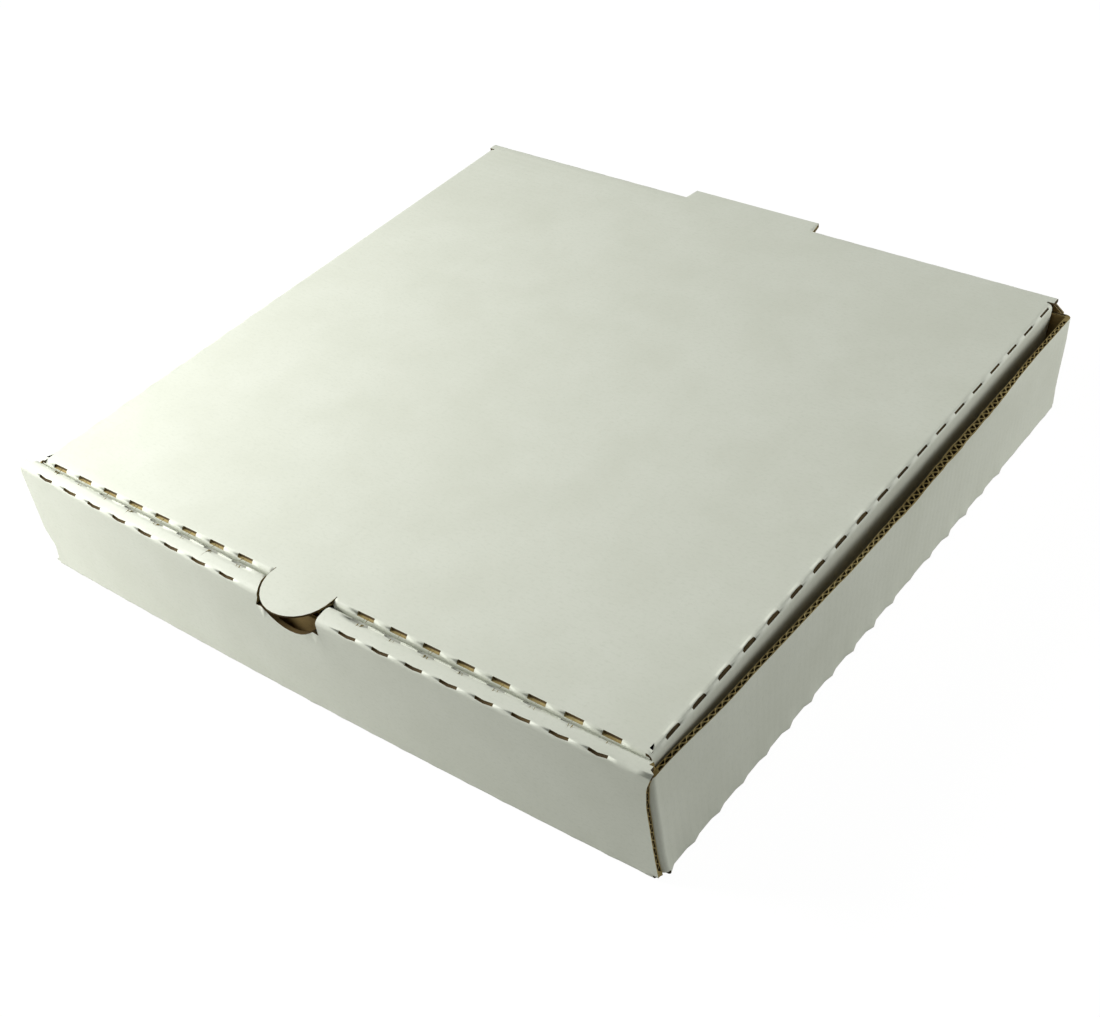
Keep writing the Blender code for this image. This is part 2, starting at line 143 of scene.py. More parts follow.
class BoxSizes(bpy.types.PropertyGroup):
    """Sizes of the board's section, its wear and its cuts."""

    flute_pitch: FloatProperty(
        name="Flute pitch",
        description="Distance from flute to flute",
        default=CUT_PITCH / 4,
        unit="LENGTH",
    )
    liner: FloatProperty(
        name="Liner",
        description="Thickness of each liner, between which the fluted sheet lies",
        default=0.3 * MM,
        unit="LENGTH",
    )
    paper: FloatProperty(
        name="Fluting paper",
        description="Thickness of the fluted sheet",
        default=0.16 * MM,
        unit="LENGTH",
    )
    slot: FloatProperty(
        name="Fluting depth",
        description="How much of the fluted sheet is drawn inside a raw edge",
        default=1.6 * MM,
        unit="LENGTH",
    )
    proud: FloatProperty(
        name="Fluting proud",
        description="How far the fluted sheet stands out of the crushed liners",
        default=0.25 * MM,
        unit="LENGTH",
    )
    bow_top: FloatProperty(
        name="Front bow at the top",
        description="How far the front wall's top stands out at its middle",
        default=2.8 * MM,
        unit="LENGTH",
    )
    bow_bottom: FloatProperty(
        name="Front bow at the base",
        description="How far the front wall's foot stands out at its middle",
        default=1.8 * MM,
        unit="LENGTH",
    )
    side_lean: FloatProperty(
        name="Side wall lean",
        description="How far the right side wall's top leans out",
        default=2.6 * MM,
        unit="LENGTH",
    )
    splay: FloatProperty(
        name="Splay",
        description="How much the crushed edge of the right side wall opens",
        default=0.65,
        min=0.0,
    )
    sag: FloatProperty(
        name="Lid sag",
        description="How far the lid's middle hangs",
        default=0.8 * MM,
        unit="LENGTH",
    )
    lip: FloatProperty(
        name="Cut lips",
        description="How far the lips of the lid's side cuts stand up",
        default=0.95 * MM,
        unit="LENGTH",
    )
    rear_tuck: FloatProperty(
        name="Rear wall tuck",
        description="How far the rear wall's right end sits inside the side wall's face",
        default=2.6 * MM,
        unit="LENGTH",
    )
    rear_corner: FloatProperty(
        name="Rear corner drop",
        description="How far the rear wall's top corners are bent down",
        default=3.4 * MM,
        unit="LENGTH",
    )
    droop: FloatProperty(
        name="Strip droop",
        description="How far the rolled strip's front crease hangs at its middle",
        default=0.9 * MM,
        unit="LENGTH",
    )


class BoxColours(bpy.types.PropertyGroup):
    """Main colours of the papers, the fluting's painted dark as shade, and the seed of what is random."""

    white: FloatVectorProperty(
        name="White liner",
        description="Bleached outer liner",
        subtype="COLOR",
        default=linear("E1E4D8")[:3],
    )
    kraft: FloatVectorProperty(
        name="Kraft liner",
        description="Plain brown inner liner",
        subtype="COLOR",
        default=linear("A58D5C")[:3],
    )
    # Painted shade: the fluting's colour is made dark for the shade deep between the liners and in the
    # sides of deep cuts
    fluting: FloatVectorProperty(
        name="Fluting",
        description="Fluted middle sheet, deep between the liners",
        subtype="COLOR",
        default=linear("54431F")[:3],
    )
    seed: IntProperty(name="Seed", description="Seed of the torn fibres", default=7)


def add_node(tree, kind, sources=None, values=None, **settings):
    """Add a node with its settings, its inputs' values and the sockets that feed it."""
    node = tree.nodes.new(kind)
    for name, value in settings.items():
        setattr(node, name, value)
    for key, value in (values or {}).items():
        node.inputs[key].default_value = value
    for key, socket in (sources or {}).items():
        tree.links.new(socket, node.inputs[key])
    return node


# Papers


def fibre_noise(tree, uv, along, across):
    """Noise drawn out along the paper's machine direction."""
    stretch = add_node(
        tree, "ShaderNodeMapping", {"Vector": uv}, {"Scale": (1 / along, 1 / across, 1.0)}
    )
    return add_node(
        tree,
        "ShaderNodeTexNoise",
        {"Vector": stretch.outputs["Vector"]},
        {"Scale": 1.0, "Detail": 4.0, "Roughness": 0.65},
    )


def mix_colours(tree, factor, first, second):
    """Two colours mixed; each may be a socket or a value."""
    mix = add_node(tree, "ShaderNodeMix", {"Factor": factor}, data_type="RGBA")
    for name, value in (("A", first), ("B", second)):
        socket = next(s for s in mix.inputs if s.name == name and s.type == "RGBA")
        if isinstance(value, tuple):
            socket.default_value = value
        else:
            tree.links.new(value, socket)
    return next(s for s in mix.outputs if s.type == "RGBA")


def paper(name, light, dark, speck, roughness, flutes=0.0):
    """A paper: clouds of pulp, fibre specks, and the ribs of the flutes under a liner."""
    material = bpy.data.materials.new(name)
    material.use_nodes = True
    tree = material.node_tree
    shader = tree.nodes["Principled BSDF"]
    uv = add_node(tree, "ShaderNodeUVMap", uv_map="board")
    place = add_node(tree, "ShaderNodeTexCoord")
    # Pulp clouds about 25 mm across; fibres 1.6 mm long, drawn coarser than real ones so that they show
    clouds = add_node(
        tree,
        "ShaderNodeTexNoise",
        {"Vector": place.outputs["Object"]},
        {"Scale": 1 / (25 * MM), "Detail": 4.0, "Roughness": 0.6},
    )
    fibres = fibre_noise(tree, uv.outputs["UV"], 1.6 * MM, 0.9 * MM)
    cloud_range = add_node(
        tree,
        "ShaderNodeMapRange",
        {"Value": clouds.outputs["Fac"]},
        {"From Min": 0.35, "From Max": 0.65},
    )
    body = mix_colours(tree, cloud_range.outputs["Result"], light, dark)
    speck_range = add_node(
        tree,
        "ShaderNodeMapRange",
        {"Value": fibres.outputs["Fac"]},
        {"From Min": 0.5, "From Max": 0.8, "To Max": 0.6},
    )
    colour = mix_colours(tree, speck_range.outputs["Result"], body, speck)
    tree.links.new(colour, shader.inputs["Base Color"])
    rough = add_node(
        tree,
        "ShaderNodeMapRange",
        {"Value": fibres.outputs["Fac"]},
        {"To Min": roughness - 0.08, "To Max": roughness + 0.08},
    )
    tree.links.new(rough.outputs["Result"], shader.inputs["Roughness"])
    shader.inputs["IOR"].default_value = 1.47
    shader.inputs["Specular IOR Level"].default_value = 0.35
    last = add_node(
        tree,
        "ShaderNodeBump",
        {"Height": fibres.outputs["Fac"]},
        {"Strength": 0.25, "Distance": 0.05 * MM},
    )
    if flutes:
        last = add_ribs(tree, uv.outputs["UV"], last.outputs["Normal"], flutes)
    tree.links.new(last.outputs["Normal"], shader.inputs["Normal"])
    return material


def add_ribs(tree, uv, normal, strength):
    """The washboard that the flutes press into a liner."""
    split = add_node(tree, "ShaderNodeSeparateXYZ", {"Vector": uv})
    phase = add_node(
        tree,
        "ShaderNodeMath",
        {0: split.outputs["Y"]},
        {1: 2 * math.pi / (CUT_PITCH / 4)},
        operation="MULTIPLY",
    )
    ribs = add_node(tree, "ShaderNodeMath", {0: phase.outputs[0]}, operation="SINE")
    return add_node(
        tree,
        "ShaderNodeBump",
        {"Height": ribs.outputs[0], "Normal": normal},
        {"Strength": strength, "Distance": 0.02 * MM},
    )


def math_chain(tree, socket, *steps):
    """A socket taken through (operation, value) steps."""
    for operation, value in steps:
        node = add_node(tree, "ShaderNodeMath", {0: socket}, operation=operation)
        if value is not None:
            node.inputs[1].default_value = value
        socket = node.outputs[0]
    return socket


def cut_edge():
    """A knife-cut edge in section: two kraft liners with the fluting's wave between them, and painted shade
    in the open flutes.
    """
    # Shares of the board's thickness: the wave's height, half its paper, and half the liners' gap
    wave_height = 0.30
    half_paper = 0.09
    half_gap = 0.33
    # Brown kraft pressed by the knife; the wave is drawn from the board's real pitch and thickness
    material = paper("die_cut_board_edge", linear("AE9D6A"), linear("8F7C4C"), linear("54451F"), 0.85)
    tree = material.node_tree
    shader = tree.nodes["Principled BSDF"]
    body = shader.inputs["Base Color"].links[0].from_socket
    uv = add_node(tree, "ShaderNodeUVMap", uv_map="section")
    split = add_node(tree, "ShaderNodeSeparateXYZ", {"Vector": uv.outputs["UV"]})
    wave = math_chain(
        tree,
        split.outputs["X"],
        ("MULTIPLY", 2 * math.pi / (CUT_PITCH / 4)),
        ("SINE", None),
        ("MULTIPLY", wave_height),
    )
    level = math_chain(tree, split.outputs["Y"], ("SUBTRACT", 0.5))
    apart = add_node(tree, "ShaderNodeMath", {0: level, 1: wave}, operation="SUBTRACT")
    off_wave = math_chain(tree, apart.outputs[0], ("ABSOLUTE", None), ("GREATER_THAN", half_paper))
    inside = math_chain(tree, level, ("ABSOLUTE", None), ("LESS_THAN", half_gap))
    # Painted shade: the open flutes beside the wave, between the liners, are coloured near black
    painted_flute_shade = add_node(tree, "ShaderNodeMath", {0: off_wave, 1: inside}, operation="MULTIPLY")
    colour = mix_colours(tree, painted_flute_shade.outputs[0], body, linear("33240F"))
    tree.links.new(colour, shader.inputs["Base Color"])
    return material


def board_papers(colours):
    """The papers in the order of the face kinds."""
    white = (*colours.white, 1.0)
    kraft = (*colours.kraft, 1.0)
    fluting = (*colours.fluting, 1.0)
    return [
        # Bleached kraft top liner, calendered: greyish white, matt, the flutes just felt under it
        paper("bleached_kraft_top_liner", white, linear("DCDFD2"), linear("D0D4C6"), 0.55, 0.35),
        # Unbleached kraft liner: brown, soft, streaked along the machine
        paper("unbleached_kraft_liner", kraft, linear("927A4C"), linear("6A5633"), 0.75, 0.35),
        cut_edge(),
        # Semi-chemical fluting paper, painted dark as the shade deep between the liners and in deep cuts
        paper("fluting_painted_as_shade", fluting, linear("3F3116"), linear("1F1708"), 0.85),
    ]


# The board's wear


def smooth(value, low, high):
    """0 below low, 1 above high, eased between them."""
    share = min(1.0, max(0.0, (value - low) / (high - low)))
    return share * share * (3 - 2 * share)


def at_cut(place, start):
    """1 in the middle of a knife cut, falling to 0 at its ends and over the bridges."""
    share = ((place - start) % CUT_PITCH) / CUT_LENGTH
    return math.sin(math.pi * share) if share < 1 else 0.0


def at_cross_cut(x):
    """How near a place across the box is to the middle of a cut."""
    return at_cut(x, FIRST_CROSS_CUT - HALF)


def at_side_cut(y):
    """How near a place along the box is to the middle of a cut."""
    return at_cut(y, REAR - FIRST_SIDE_CUT - CUT_LENGTH)


def wander(along, row, scale=40.0):
    """A slow unevenness along an edge, between -1 and 1."""
    return 2 * noise.noise(Vector((along * scale, row * 7.3, 0.5)))


def right_wall_lean(y, sizes):
    """How far the right side wall's top stands out along its length."""
    rise = smooth(y, FRONT + 20 * MM, FRONT + 110 * MM)
    pinch = 1 - smooth(y, FRONT + 4 * MM, FRONT + 38 * MM)
    return sizes.side_lean * rise - RIGHT_FRONT_PINCH * pinch + 0.2 * MM * wander(y, 1)


def crushed(y):
    """Where the right side wall's top edge is crushed and splayed."""
    start = smooth(y, FRONT + 104 * MM, FRONT + 140 * MM)
    end = 1 - smooth(y, FRONT + 188 * MM, FRONT + 214 * MM)
    return start * end


# How far the front wall's ends are worn in, by their height below the top
RIGHT_END_DROPS = np.array([0.0, 3.0, 6.1, 12.1, 32.3, 44.6]) * MM
RIGHT_END_SHIFTS = np.array([0.2, -0.8, -1.9, -2.6, -1.5, -0.3]) * MM
LEFT_END_DROPS = np.array([0.0, 3.4, 8.1, 28.6, 33.0, 38.7, 41.9, 44.4]) * MM
LEFT_END_SHIFTS = np.array([-0.8, -1.0, -0.6, 0.4, 2.8, 4.2, 1.2, 0.6]) * MM


def worn_front_end(x, z):
    """How far the outer front wall's ends are pushed along the box."""
    drop = HEIGHT - z
    right = float(np.interp(drop, RIGHT_END_DROPS, RIGHT_END_SHIFTS))
    left = float(np.interp(drop, LEFT_END_DROPS, LEFT_END_SHIFTS))
    reach = 14 * MM
    return right * smooth(x, HALF - reach, HALF) + left * smooth(-x, HALF - reach, HALF)


def front_bow(x, y, z, sizes):
    """How far the front wall stands out: most at its middle and its top."""
    across = 1 - min(1.0, abs(x) / HALF) ** 2
    bow = sizes.bow_bottom + (sizes.bow_top - sizes.bow_bottom) * z / HEIGHT
    wall = 1 - smooth(y, FRONT + 1.5 * BOARD, FRONT + STRIP + BOARD)
    foot = (1 - smooth(y, FRONT, FRONT + 40 * MM)) * (1 - smooth(z, BOARD, 2 * BOARD))
    return bow * across * max(wall, foot)


def worn_rear_end(x, z, sizes):
    """How far the rear wall's ends are pushed in behind the side walls, and its corners down."""
    end = smooth(abs(x), HALF - 9 * MM, HALF)
    up = z / HEIGHT
    inwards = sizes.rear_tuck * (1 - 0.6 * up) if x > 0 else LEFT_REAR_TUCK * up
    corner = smooth(abs(x), LID_HALF - 0.5 * MM, HALF) * smooth(z, HEIGHT - 11 * MM, HEIGHT)
    return Vector((-math.copysign(inwards * end, x), 0, -sizes.rear_corner * corner))


def worn_side_wall(x, y, z, sizes):
    """How far a side wall's point is pushed along X: its lean, and its crushed top edge."""
    up = smooth(z, 2 * MM, SIDE_WALL)
    if x < 0:
        front = 1 - smooth(y, FRONT + 4 * MM, FRONT + 22 * MM)
        rear = smooth(y, REAR - 70 * MM, REAR)
        lean = (LEFT_REAR_LEAN * rear - LEFT_TOP_LEAN) * up * (1 - front)
        return worn_front_end(-HALF, z) * front * 0.8 + lean
    middle = HALF - BOARD / 2
    top = smooth(z, SIDE_WALL - 3.2 * MM, SIDE_WALL)
    opening = (0.12 + sizes.splay * crushed(y)) * top
    uneven = 1 + 0.35 * wander(y, 3, 330.0)
    return right_wall_lean(y, sizes) * up + (x - middle) * opening * uneven


def strip_tongue(x, y, z):
    """How far the liner over the strip's rear cuts is pushed back, so that it nearly closes them."""
    off_edge = abs(y - (FRONT + STRIP - CUT_DEPTH))
    at_liner = z >= HEIGHT - 0.2 * MM and off_edge <= 0.2 * MM and abs(x) >= THUMB_BRIDGE
    return STRIP_LINER_PUSH if at_liner else STILL


def worn_notch(x, y, z):
    """How the thumb notch lies to the left, a little shallow, its left side closed in on the tab."""
    if y > FRONT + STRIP + LAYER_GAP / 2 or z < HEIGHT - 32 * MM:
        return STILL
    depth = HEIGHT - z
    left = smooth(x, -NOTCH_RADIUS - 9 * MM, -NOTCH_RADIUS) * (x < -0.6 * NOTCH_RADIUS)
    top = 1 - smooth(depth, 2 * MM, 9 * MM)
    pinch = NOTCH_PINCH * left * top * (1 - smooth(y, FRONT, FRONT + STRIP))
    near = 1 - smooth(depth, 16 * MM, 30 * MM)
    rise = NOTCH_RISE * smooth(depth, 3 * MM, 11 * MM) * near
    inside = 1 - smooth(abs(x), 8 * MM, NOTCH_RADIUS + 4 * MM)
    return Vector((pinch + tab_shift(x) * near, 0, rise * inside))


def cut_lips(x, y, z):
    """How far the lips of the tray's cuts stand out of its creases, as (x, y, z)."""
    low = 1 - smooth(z, 0.4 * MM, 7 * MM)
    across = at_cross_cut(x) * (1 + 0.5 * wander(x, 5, 70.0))
    along = at_side_cut(y) * (1 + 0.5 * wander(y, 6, 70.0))
    moved = STILL.copy()
    if y < FRONT + FOLD:
        moved.y -= FRONT_FOOT_LIP * across * low
        top = smooth(z, HEIGHT - 2.2 * MM, HEIGHT - SLIT)
        moved.y -= FRONT_TOP_LIP * across * top * (abs(x) > THUMB_BRIDGE)
    if y > REAR - FOLD:
        moved.y += REAR_FOOT_LIP * across * low
    if abs(x) > HALF - FOLD:
        fade = 1 - 0.8 * smooth(y, 50 * MM, 110 * MM)
        moved.x += math.copysign(SIDE_FOOT_LIP * along * low * fade, x)
    return moved


def worn_tray(point, sizes):
    """Where handling has left a point of the tray."""
    x, y, z = point
    moved = cut_lips(x, y, z) + strip_tongue(x, y, z)
    moved.y -= front_bow(x, y, z, sizes)
    moved += worn_notch(x, y, z)
    if z > HEIGHT - 5 * MM and y < FRONT + STRIP:
        across = 1 - min(1.0, abs(x) / HALF) ** 2
        droop = (1 - smooth(y, FRONT, FRONT + STRIP)) * smooth(z, HEIGHT - 5 * MM, HEIGHT)
        moved.z -= sizes.droop * across * droop
    if y < FRONT + BOARD + 0.5 * LAYER_GAP:
        moved.x += worn_front_end(x, z)
    elif y > REAR - BOARD - 0.5 * LAYER_GAP:
        moved += worn_rear_end(x, z, sizes)
    elif abs(x) > HALF - 1.3 * BOARD:
        moved.x += worn_side_wall(x, y, z, sizes)
    if abs(x) > HALF - 1.3 * BOARD and FRONT + 2 * FOLD < y < REAR - 2 * FOLD:
        top = smooth(z, SIDE_WALL - 5 * MM, SIDE_WALL)
        moved.z += (0.25 * wander(y, 8, 25.0) - 0.5 * crushed(y)) * MM * top
    worn = point + moved
    worn.z = min(worn.z, TRAY_CEILING)
    return worn


def lid_lip(x, y):
    """How far a lip stands up beside a side cut: most along the front half of the right crease."""
    front = 1 - smooth(y, -30 * MM, 50 * MM)
    hand = 1.0 if x > 0 else 0.25
    return at_side_cut(y) ** 0.3 * front * hand * (1 + 0.3 * wander(y, 9, 60.0))


def tab_shift(x):
    """How far the thumb tab and its notch lie off the middle."""
    return -TAB_OFFSET * (1 - smooth(abs(x), NOTCH_RADIUS + 1.5 * MM, THUMB_BRIDGE + 3 * MM))


def worn_lid(point, sizes):
    """Where handling has left a point of the lid: sagging a little, with lips along its cuts."""
    x, y, z = point
    across = max(0.0, 1 - (x / LID_HALF) ** 2)
    along = max(0.0, 1 - ((2 * y - LID_FRONT - REAR) / (REAR - LID_FRONT)) ** 2)
    lift = -sizes.sag * across * along
    inside = LID_HALF - SLIT - abs(x)
    if z > HEIGHT - 0.6 * MM and -0.1 * MM < inside < LIP_WIDTH:
        lift += sizes.lip * lid_lip(x, y) * max(0.0, 1 - max(0.0, inside) / LIP_WIDTH)
    if y < LID_FRONT - 0.5 * MM and z < HEIGHT - 0.3 * MM:
        lift += TAB_PRESSED * (HEIGHT - z)
    if y < LID_FRONT:
        lift -= TAB_DROP * smooth(LID_FRONT - y, 0.0, 12 * MM)
    aside = tab_shift(x) * (1 - smooth(y, LID_FRONT, LID_FRONT + 25 * MM))
    worn = Vector((x + aside, y, z + lift)) + closed_corner(x, y, z)
    worn.z = min(worn.z, LID_CEILING)
    return worn


def closed_corner(x, y, z):
    """How the side flaps' front ends reach on to the front crease, and it to them."""
    end = LID_HALF - BEND
    start = LID_FRONT + BEND
    depth = max(0.0, HEIGHT - FOLD - z)
    if abs(x) > end + 0.1 * MM or depth > 0.5 * MM and abs(x) > end - MM:
        at_relief = depth < FLAP_RELIEF + 0.2 * MM and y < start + depth + 0.4 * MM
        return Vector((0, -(BEND - 0.3 * MM) - 0.6 * depth, 0)) if at_relief else STILL
    if y < start - 0.1 * MM and abs(x) > end - 0.1 * MM and z > HEIGHT - 1.3 * FOLD:
        return Vector((math.copysign(0.6 * BEND, x), 0, 0))
    return STILL


# The board


def samples(triangle):
    """Points spread over a triangle."""
    a, b, c = triangle
    weights = ((1, 1, 1), (6, 1, 1), (1, 6, 1), (1, 1, 6))
    return [(a * u + b * v + c * w) / (u + v + w) for u, v, w in weights]


def depth_under(point, normal, tree):
    """How deep the board goes on under a point."""
    hit = tree.ray_cast(point - normal * 0.01 * MM, -normal)
    return hit[3] if hit[0] else math.inf


def is_outward(point, normal, node):
    """Whether a point is on the sheet's white side."""
    centre = Vector((0.0, (FRONT + REAR) / 2, HEIGHT / 2))
    rolled = point.y < FRONT + STRIP + LAYER_GAP / 2 and point.z > 2 * BOARD
    if node == "tray" and rolled and abs(normal.x) < 0.2:
        centre = Vector((point.x, FRONT + STRIP / 2, min(point.z, HEIGHT - 2 * BOARD)))
    return normal.dot(point - centre) > 0


def face_kind(face, triangles, tree, node):
    """Outer liner, inner liner, raw edge, or flute and deep cut painted as shade, told by the board's
    thickness under the face.
    """
    normal = face.normal
    panel = 0.0
    thin = 0.0
    whole = 0.0
    for triangle in triangles:
        area = (triangle[1] - triangle[0]).cross(triangle[2] - triangle[0]).length / 8
        for point in samples(triangle):
            depth = depth_under(point, normal, tree)
            whole += area
            panel += area * (abs(depth - BOARD) < 0.1 * BOARD)
            thin += area * (depth < 0.4 * BOARD)
    middle = face.calc_center_median()
    if node == "lid" and middle.y > HINGE.y and abs(normal.x) < 0.5 and abs(normal.z) < 0.999:
        return OUTER
    if whole and panel > 0.3 * whole or abs(normal.z) > 0.999 and face.calc_area() > 400 * MM * MM:
        return OUTER if is_outward(middle, normal, node) else INNER
    if node == "tray" and is_strip_lip(middle, normal):
        return OUTER
    # Painted shade: thin flute faces, flute floors and the sides of deep cuts take the fluting painted dark
    if thin > 0.6 * whole or is_flute_floor(middle, normal) or is_deep_cut(face, middle, normal):
        return SHADED_CORE
    return EDGE


def is_strip_lip(point, normal):
    """Whether a face is in the strip's rear cuts, over which the white liner has closed."""
    across = FRONT + STRIP - CUT_DEPTH - 0.3 * MM < point.y < FRONT + STRIP + 0.2 * MM
    return across and point.z > HEIGHT - 1.5 * BOARD and abs(point.x) > THUMB_BRIDGE and normal.z > -0.5


def is_deep_cut(face, point, normal):
    """Whether a face is a side of a knife cut that lies in shade, and so is painted dark as shade."""
    if face.calc_area() > 1.2 * CUT_LENGTH * CUT_DEPTH or abs(normal.x) > 0.9 and abs(point.x) < 0.9 * HALF:
        return False
    # The cut floors at the lid's front crease face up into the light and keep the raw edge's colour, not
    # the painted shade
    lit_floor = abs(point.y - LID_FRONT) < 1.5 * BOARD and normal.z > 0.9
    return not lit_floor and max(edge.calc_length() for edge in face.edges) < 1.02 * CUT_LENGTH


def is_flute_floor(point, normal):
    """Whether a face is the bottom of an open flute, which is painted dark as shade."""
    side = abs(abs(point.x) - (HALF - BOARD / 2)) < BOARD / 2 and normal.z > 0.9
    end = abs(point.x) < HALF - 2 * BOARD and abs(point.x) > HALF - 3 * BOARD and abs(normal.x) > 0.9
    return side and point.z < SIDE_WALL - MM or end


def slice_board(work, axis, places):
    """Cut the board by planes across one axis, so that it can bend."""
    normal = Vector((0, 0, 0))
    normal[axis] = 1.0
    for place in places:
        geometry = work.verts[:] + work.edges[:] + work.faces[:]
        bmesh.ops.bisect_plane(
            work, geom=geometry, dist=0.001 * MM, plane_co=normal * place, plane_no=normal
        )


def slice_places(node):
    """Where to slice: four times to each pitch of the creases' cuts, and beside the lips."""
    quarter = CUT_PITCH / 4
    across = [FIRST_CROSS_CUT - HALF + quarter * n for n in range(-4, 78)]
    along = [REAR - FIRST_SIDE_CUT - quarter * n for n in range(-2, 80)]
    up = [HEIGHT - 7 * MM * n for n in range(1, 7)]
    if node == "lid":
        for inside in (0.5 * MM, LIP_WIDTH - 0.1 * MM, LIP_WIDTH + 0.1 * MM):
            across += [LID_HALF - SLIT - inside, SLIT + inside - LID_HALF]
        for start in side_cut_starts():
            along += [start + 0.6 * MM, start + CUT_LENGTH - 0.6 * MM]
    else:
        up += [0.8 * MM, 2 * MM, 4 * MM, SIDE_WALL - MM, HEIGHT - 3 * MM, HEIGHT - 41.9 * MM]
        across += [HALF - 8 * MM, 8 * MM - HALF, HALF - MM * 4, 4 * MM - HALF]
    return ((0, across), (1, along), (2, up))


def lay_pattern(work):
    """A UV map in metres: U along the flutes and V across them."""
    layer = work.loops.layers.uv.new("board")
    for face in work.faces:
        upright = abs(face.normal.y) > 0.6
        for loop in face.loops:
            x, y, z = loop.vert.co
            along = x if abs(face.normal.x) < 0.6 else z
            loop[layer].uv = (along, z if upright else y)


def lay_section(work):
    """A UV map over the raw edges: U across the flutes in metres, V through the board from 0 to 1."""
    layer = work.loops.layers.uv.new("section")
    for face in work.faces:
        if face.material_index != EDGE:
            continue
        points = [vert.co for vert in face.verts]
        low = [min(point[axis] for point in points) for axis in range(3)]
        high = [max(point[axis] for point in points) for axis in range(3)]
        fits = [abs(high[axis] - low[axis] - BOARD) for axis in range(3)]
        through = min(range(3), key=lambda axis: fits[axis])
        sound = fits[through] < 0.15 * BOARD and len(points) < 6
        for loop in face.loops:
            place = loop.vert.co
            depth = (place[through] - low[through]) / BOARD if sound else 0.02
            loop[layer].uv = (place.z if through == 1 else place.y, depth)


def board_piece(name, node, worn, sizes, papers):
    """A dressed copy of one part of the sheet, standing for its node."""
    work = bmesh.new()
    work.from_mesh(frame["nodes"][node].data)
    bmesh.ops.remove_doubles(work, verts=work.verts, dist=0.004 * MM)
    bmesh.ops.dissolve_limit(work, angle_limit=math.radians(0.3), verts=work.verts, edges=work.edges)
    work.faces.ensure_lookup_table()
    work.faces.index_update()
    triangles = {}
    for loops in work.calc_loop_triangles():
        triangles.setdefault(loops[0].face.index, []).append([loop.vert.co for loop in loops])
    tree = BVHTree.FromBMesh(work)
    kinds = [face_kind(face, triangles[face.index], tree, node) for face in work.faces]
    for face, kind in zip(work.faces, kinds):
        face.material_index = kind
    lay_section(work)
    for axis, places in slice_places(node):
        slice_board(work, axis, places)
    lay_pattern(work)
    for vert in work.verts:
        vert.co = worn(vert.co, sizes)
    bmesh.ops.triangulate(work, faces=[face for face in work.faces if len(face.verts) > 4])
    mesh = bpy.data.meshes.new(name)
    work.to_mesh(mesh)
    work.free()
    for material in papers:
        mesh.materials.append(material)
    mesh.shade_smooth()
    mesh.set_sharp_from_angle(angle=math.radians(32))
    piece = bpy.data.objects.new(name, mesh)
    bpy.context.scene.collection.objects.link(piece)
    return piece


# What repeats


def new_tree(name, inputs):
    """An empty Geometry Nodes tree with named inputs and one geometry output."""
    tree = bpy.data.node_groups.new(name, "GeometryNodeTree")
    tree.interface.new_socket("Geometry", in_out="OUTPUT", socket_type="NodeSocketGeometry")
    for label, kind in inputs:
        tree.interface.new_socket(label, in_out="INPUT", socket_type=kind)
    return tree


def finish_tree(tree, socket, material):
    """End a tree in realised geometry with its material."""
    real = add_node(tree, "GeometryNodeRealizeInstances", {"Geometry": socket})
    weld = add_node(
        tree, "GeometryNodeMergeByDistance", {"Geometry": real.outputs[0]}, {"Distance": 0.001 * MM}
    )
    paint = add_node(tree, "GeometryNodeSetMaterial", {"Geometry": weld.outputs[0]})
    paint.inputs["Material"].default_value = material
    add_node(tree, "NodeGroupOutput", {"Geometry": paint.outputs[0]})


def fluting_tree(material):
    """One flute of the middle sheet, repeated along a raw edge."""
    inputs = [
        ("Pitch", "NodeSocketFloat"),
        ("Height", "NodeSocketFloat"),
        ("Depth", "NodeSocketFloat"),
        ("Count", "NodeSocketInt"),
    ]
    tree = new_tree("fluting", inputs)
    given = add_node(tree, "NodeGroupInput")
    sheet = add_node(
        tree,
        "GeometryNodeMeshGrid",
        {"Size X": given.outputs["Pitch"], "Size Y": given.outputs["Depth"]},
        {"Vertices X": 13, "Vertices Y": 3},
    )
    place = add_node(tree, "GeometryNodeInputPosition")
    split = add_node(tree, "ShaderNodeSeparateXYZ", {"Vector": place.outputs[0]})
    turns = add_node(
        tree, "ShaderNodeMath", {0: split.outputs["X"], 1: given.outputs["Pitch"]}, operation="DIVIDE"
    )
    angle = add_node(
        tree, "ShaderNodeMath", {0: turns.outputs[0]}, {1: 2 * math.pi}, operation="MULTIPLY"
    )
    wave = add_node(tree, "ShaderNodeMath", {0: angle.outputs[0]}, operation="SINE")
    rise = add_node(
        tree, "ShaderNodeMath", {0: wave.outputs[0], 1: given.outputs["Height"]}, operation="MULTIPLY"
    )
    offset = add_node(tree, "ShaderNodeCombineXYZ", {"Z": rise.outputs[0]})
    flute = add_node(
        tree,
        "GeometryNodeSetPosition",
        {"Geometry": sheet.outputs["Mesh"], "Offset": offset.outputs[0]},
    )
    step = add_node(tree, "ShaderNodeCombineXYZ", {"X": given.outputs["Pitch"]})
    line = add_node(
        tree,
        "GeometryNodeMeshLine",
        {"Count": given.outputs["Count"], "Offset": step.outputs[0]},
        mode="OFFSET",
    )
    copies = add_node(
        tree,
        "GeometryNodeInstanceOnPoints",
        {"Points": line.outputs[0], "Instance": flute.outputs[0]},
    )
    finish_tree(tree, copies.outputs[0], material)
    return tree


